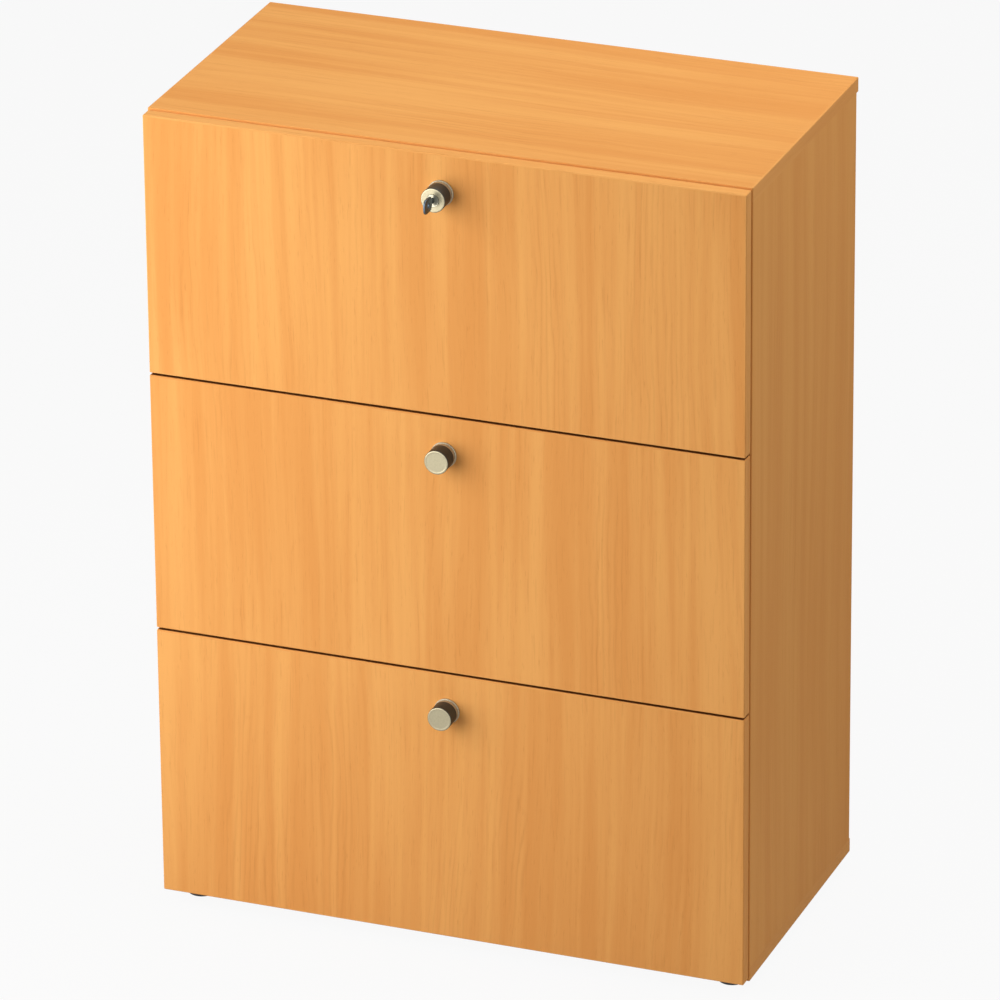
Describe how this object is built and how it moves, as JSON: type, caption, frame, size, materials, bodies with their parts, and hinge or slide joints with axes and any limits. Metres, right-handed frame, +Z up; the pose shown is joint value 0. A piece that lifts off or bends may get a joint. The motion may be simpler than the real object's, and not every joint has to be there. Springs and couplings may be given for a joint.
{
  "type": "filing cabinet",
  "caption": "Upright filing cabinet in beech-faced board with full-overlay drawers for suspension files, turned knobs, a lock with its key, and levelling feet.",
  "frame": {"origin": "on the floor, under the middle of the whole box, which reaches from the key to the rear edge of the top", "axes": "+Z up, +X to the right seen from the front, the drawers open along -Y"},
  "size_m": [0.8, 0.477, 1.1],
  "materials": {
    "beech_board": "satin beech decor",
    "edge_band": "satin beech-coloured plastic",
    "back_board": "satin beech decor",
    "dowel_beech": "bare beech",
    "cam_zinc": "bare zinc casting",
    "screw_steel": "zinc plated",
    "rail_steel": "zinc plated",
    "ball_steel": "polished",
    "drawer_steel": "powder coat, fine texture",
    "leveller_black": "matt black",
    "socket_black": "matt black",
    "knob_nickel": "matt nickel",
    "lock_nickel": "satin nickel",
    "key_steel": "dark satin steel"
  },
  "bodies": {
    "carcass": {"top_panel": "beech_board", "bottom_panel": "beech_board", "left_side_panel": "beech_board", "right_side_panel": "beech_board", "back_panel": "back_board", "carcass_edge_bands": "edge_band", "carcass_cam_fittings": "cam_zinc", "carcass_dowels": "dowel_beech", "carcass_screws": "screw_steel", "cabinet_rails": "rail_steel", "leveller_sockets": "socket_black", "lock_strike": "rail_steel"},
    "leveller_front_left": {"leveller_front_left": "leveller_black"},
    "leveller_front_right": {"leveller_front_right": "leveller_black"},
    "leveller_rear_left": {"leveller_rear_left": "leveller_black"},
    "leveller_rear_right": {"leveller_rear_right": "leveller_black"},
    "lower_drawer": {"lower_front_panel": "beech_board", "lower_front_edge_bands": "edge_band", "lower_drawer_side_walls": "drawer_steel", "lower_drawer_back": "drawer_steel", "lower_drawer_floor": "drawer_steel", "lower_hanger_rail": "drawer_steel", "lower_drawer_rails": "rail_steel", "lower_knob": "knob_nickel", "lower_knob_base": "knob_nickel", "lower_drawer_screws": "screw_steel"},
    "lower_slide_middle_rails": {"lower_slide_middle_rails": "rail_steel"},
    "lower_slide_outer_cages": {"lower_slide_outer_cages": "ball_steel"},
    "lower_slide_inner_cages": {"lower_slide_inner_cages": "ball_steel"},
    "middle_drawer": {"middle_front_panel": "beech_board", "middle_front_edge_bands": "edge_band", "middle_drawer_side_walls": "drawer_steel", "middle_drawer_back": "drawer_steel", "middle_drawer_floor": "drawer_steel", "middle_hanger_rail": "drawer_steel", "middle_drawer_rails": "rail_steel", "middle_knob": "knob_nickel", "middle_knob_base": "knob_nickel", "middle_drawer_screws": "screw_steel"},
    "middle_slide_middle_rails": {"middle_slide_middle_rails": "rail_steel"},
    "middle_slide_outer_cages": {"middle_slide_outer_cages": "ball_steel"},
    "middle_slide_inner_cages": {"middle_slide_inner_cages": "ball_steel"},
    "upper_drawer": {"upper_front_panel": "beech_board", "upper_front_edge_bands": "edge_band", "upper_drawer_side_walls": "drawer_steel", "upper_drawer_back": "drawer_steel", "upper_drawer_floor": "drawer_steel", "upper_hanger_rail": "drawer_steel", "upper_drawer_rails": "rail_steel", "upper_knob": "knob_nickel", "upper_knob_base": "knob_nickel", "upper_drawer_screws": "screw_steel", "lock_barrel": "lock_nickel"},
    "upper_slide_middle_rails": {"upper_slide_middle_rails": "rail_steel"},
    "upper_slide_outer_cages": {"upper_slide_outer_cages": "ball_steel"},
    "upper_slide_inner_cages": {"upper_slide_inner_cages": "ball_steel"},
    "lock_plug": {"lock_plug": "lock_nickel", "lock_lever": "rail_steel"},
    "lock_key": {"lock_key": "key_steel"}
  },
  "joints": [
    {"name": "leveller_front_left_screw", "type": "slide", "parent": "carcass", "child": "leveller_front_left", "axis": [0, 0, -1], "range_m": [0, 0.01]},
    {"name": "leveller_front_right_screw", "type": "slide", "parent": "carcass", "child": "leveller_front_right", "axis": [0, 0, -1], "range_m": [0, 0.01]},
    {"name": "leveller_rear_left_screw", "type": "slide", "parent": "carcass", "child": "leveller_rear_left", "axis": [0, 0, -1], "range_m": [0, 0.01]},
    {"name": "leveller_rear_right_screw", "type": "slide", "parent": "carcass", "child": "leveller_rear_right", "axis": [0, 0, -1], "range_m": [0, 0.01]},
    {"name": "lower_drawer_slide", "type": "slide", "parent": "carcass", "child": "lower_drawer", "axis": [0, -1, 0], "range_m": [0, 0.34]},
    {"name": "lower_slide_middle_rails_slide", "type": "slide", "parent": "carcass", "child": "lower_slide_middle_rails", "axis": [0, -1, 0], "range_m": [0, 0.17]},
    {"name": "lower_slide_outer_cages_slide", "type": "slide", "parent": "carcass", "child": "lower_slide_outer_cages", "axis": [0, -1, 0], "range_m": [0, 0.085]},
    {"name": "lower_slide_inner_cages_slide", "type": "slide", "parent": "carcass", "child": "lower_slide_inner_cages", "axis": [0, -1, 0], "range_m": [0, 0.255]},
    {"name": "middle_drawer_slide", "type": "slide", "parent": "carcass", "child": "middle_drawer", "axis": [0, -1, 0], "range_m": [0, 0.34]},
    {"name": "middle_slide_middle_rails_slide", "type": "slide", "parent": "carcass", "child": "middle_slide_middle_rails", "axis": [0, -1, 0], "range_m": [0, 0.17]},
    {"name": "middle_slide_outer_cages_slide", "type": "slide", "parent": "carcass", "child": "middle_slide_outer_cages", "axis": [0, -1, 0], "range_m": [0, 0.085]},
    {"name": "middle_slide_inner_cages_slide", "type": "slide", "parent": "carcass", "child": "middle_slide_inner_cages", "axis": [0, -1, 0], "range_m": [0, 0.255]},
    {"name": "upper_drawer_slide", "type": "slide", "parent": "carcass", "child": "upper_drawer", "axis": [0, -1, 0], "range_m": [0, 0.34]},
    {"name": "upper_slide_middle_rails_slide", "type": "slide", "parent": "carcass", "child": "upper_slide_middle_rails", "axis": [0, -1, 0], "range_m": [0, 0.17]},
    {"name": "upper_slide_outer_cages_slide", "type": "slide", "parent": "carcass", "child": "upper_slide_outer_cages", "axis": [0, -1, 0], "range_m": [0, 0.085]},
    {"name": "upper_slide_inner_cages_slide", "type": "slide", "parent": "carcass", "child": "upper_slide_inner_cages", "axis": [0, -1, 0], "range_m": [0, 0.255]},
    {"name": "key_turn", "type": "hinge", "parent": "upper_drawer", "child": "lock_plug", "pos_m": [0, -0.2099, 1.047], "axis": [0, 1, 0], "range_deg": [0, 90]},
    {"name": "key_pull", "type": "slide", "parent": "lock_plug", "child": "lock_key", "axis": [0, -1, 0], "range_m": [0, 0.03]}
  ],
  "couplings": [
    {"joint": "lower_slide_middle_rails_slide", "follows": "lower_drawer_slide", "ratio": 0.5},
    {"joint": "lower_slide_outer_cages_slide", "follows": "lower_drawer_slide", "ratio": 0.25},
    {"joint": "lower_slide_inner_cages_slide", "follows": "lower_drawer_slide", "ratio": 0.75},
    {"joint": "middle_slide_middle_rails_slide", "follows": "middle_drawer_slide", "ratio": 0.5},
    {"joint": "middle_slide_outer_cages_slide", "follows": "middle_drawer_slide", "ratio": 0.25},
    {"joint": "middle_slide_inner_cages_slide", "follows": "middle_drawer_slide", "ratio": 0.75},
    {"joint": "upper_slide_middle_rails_slide", "follows": "upper_drawer_slide", "ratio": 0.5},
    {"joint": "upper_slide_outer_cages_slide", "follows": "upper_drawer_slide", "ratio": 0.25},
    {"joint": "upper_slide_inner_cages_slide", "follows": "upper_drawer_slide", "ratio": 0.75}
  ]
}
